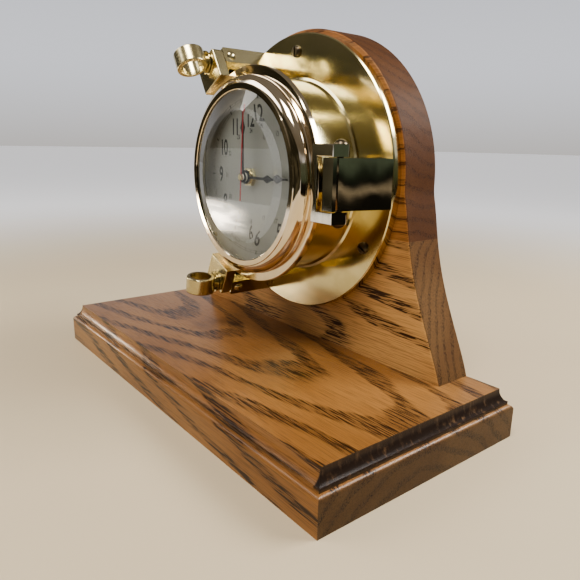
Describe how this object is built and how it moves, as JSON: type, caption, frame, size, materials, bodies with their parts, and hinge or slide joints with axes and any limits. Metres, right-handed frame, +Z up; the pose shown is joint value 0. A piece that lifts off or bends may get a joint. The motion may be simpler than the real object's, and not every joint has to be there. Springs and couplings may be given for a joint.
{
  "type": "ships deck clock",
  "caption": "Round brass ship's clock with a hinged glazed bezel held shut by swing-bolt dogs, on a moulded oak desk stand.",
  "frame": {"origin": "centre of the base's underside", "axes": "+Z up, the dial faces -Y, +X towards 3 o'clock on the dial"},
  "size_m": [0.2664, 0.126, 0.1995],
  "materials": {
    "oak": "satin",
    "brass_case": "polished",
    "brass_bezel": "polished",
    "dark_screw": "darkened",
    "steel": "plain",
    "crystal": "clear",
    "rubber": "matt",
    "dial_silver": "satin",
    "hand_black": "gloss",
    "hand_red": "gloss",
    "case_plastic": "matt",
    "gear_plastic": "plain",
    "board": "plain",
    "copper": "wound wire",
    "battery_shell": "gloss"
  },
  "bodies": {
    "case_and_stand": {"base_board": "oak", "upright_lower_board": "oak", "upright_upper_board": "oak", "stand_screws": "steel", "mounting_flange": "brass_case", "flange_screws": "dark_screw", "case_drum": "brass_case", "hinge_arm": "brass_case", "hinge_pin": "dark_screw", "lug_fixing_screws": "steel", "dog_lug_upper": "brass_case", "dog_lug_lower": "brass_case", "dog_pivot_pin_upper": "brass_case", "dog_pivot_pin_lower": "brass_case", "dial_plate": "dial_silver", "dial_seat_ring": "brass_case", "dial_screws": "brass_case", "movement_case_front": "case_plastic", "movement_case_back": "case_plastic", "movement_bush": "brass_case", "dial_washer": "rubber", "movement_nut": "brass_case", "circuit_board": "board", "motor_coil": "copper", "motor_stator": "steel", "battery": "battery_shell", "battery_contacts": "steel"},
    "bezel": {"bezel_ring": "brass_bezel", "hinge_leaf": "brass_case", "crystal": "crystal", "crystal_gasket": "rubber", "crystal_retaining_ring": "brass_bezel", "bezel_ear_upper": "brass_bezel", "bezel_ear_lower": "brass_bezel"},
    "upper_dog_bolt": {"dog_bolt_upper": "brass_case"},
    "upper_dog_washer": {"dog_washer_upper": "brass_case"},
    "upper_dog_nut": {"dog_nut_upper": "brass_bezel"},
    "lower_dog_bolt": {"dog_bolt_lower": "brass_case"},
    "lower_dog_washer": {"dog_washer_lower": "brass_case"},
    "lower_dog_nut": {"dog_nut_lower": "brass_bezel"},
    "minute_hand": {"minute_hand": "hand_black", "cannon_pinion": "gear_plastic"},
    "hour_hand": {"hour_hand": "hand_black", "hour_wheel": "gear_plastic"},
    "motion_wheel": {"motion_wheel": "gear_plastic", "setting_knob": "gear_plastic"},
    "second_hand": {"second_hand": "hand_red", "second_arbor": "steel", "centre_cap": "brass_case"}
  },
  "joints": [
    {"name": "bezel_hinge", "type": "hinge", "parent": "case_and_stand", "child": "bezel", "pos_m": [0.0655, 0.0048, 0.12], "axis": [0, 0, 1], "range_deg": [0, 105]},
    {"name": "upper_dog_swing", "type": "hinge", "parent": "case_and_stand", "child": "upper_dog_bolt", "pos_m": [-0.03565, 0.0048, 0.18175], "axis": [-0.866, 0, -0.5], "range_deg": [0, 100]},
    {"name": "upper_washer_slide", "type": "slide", "parent": "upper_dog_bolt", "child": "upper_dog_washer", "axis": [0, -1, 0], "range_m": [0, 0.0012]},
    {"name": "upper_nut_turn", "type": "hinge", "parent": "upper_dog_washer", "child": "upper_dog_nut", "pos_m": [-0.03565, -0.00865, 0.18175], "axis": [0, -1, 0], "range_deg": [0, 540]},
    {"name": "lower_dog_swing", "type": "hinge", "parent": "case_and_stand", "child": "lower_dog_bolt", "pos_m": [-0.03013, 0.0048, 0.05538], "axis": [0.9063, 0, -0.4226], "range_deg": [0, 100]},
    {"name": "lower_washer_slide", "type": "slide", "parent": "lower_dog_bolt", "child": "lower_dog_washer", "axis": [0, -1, 0], "range_m": [0, 0.0012]},
    {"name": "lower_nut_turn", "type": "hinge", "parent": "lower_dog_washer", "child": "lower_dog_nut", "pos_m": [-0.03013, -0.00865, 0.05538], "axis": [0, -1, 0], "range_deg": [0, 540]},
    {"name": "minute_hand_turn", "type": "hinge", "parent": "case_and_stand", "child": "minute_hand", "pos_m": [0, -0.0002, 0.12], "axis": [0, 1, 0], "continuous": true},
    {"name": "hour_hand_turn", "type": "hinge", "parent": "case_and_stand", "child": "hour_hand", "pos_m": [0, -0.0002, 0.12], "axis": [0, 1, 0], "continuous": true},
    {"name": "motion_wheel_turn", "type": "hinge", "parent": "case_and_stand", "child": "motion_wheel", "pos_m": [0, 0.0108, 0.132], "axis": [0, 1, 0], "continuous": true},
    {"name": "second_hand_turn", "type": "hinge", "parent": "case_and_stand", "child": "second_hand", "pos_m": [0, -0.0002, 0.12], "axis": [0, 1, 0], "continuous": true}
  ],
  "couplings": [
    {"joint": "upper_washer_slide", "follows": "upper_nut_turn", "m_per_rad": 0.00012732},
    {"joint": "lower_washer_slide", "follows": "lower_nut_turn", "m_per_rad": 0.00012732},
    {"joint": "hour_hand_turn", "follows": "minute_hand_turn", "ratio": 0.083333},
    {"joint": "motion_wheel_turn", "follows": "minute_hand_turn", "ratio": -0.33333}
  ]
}
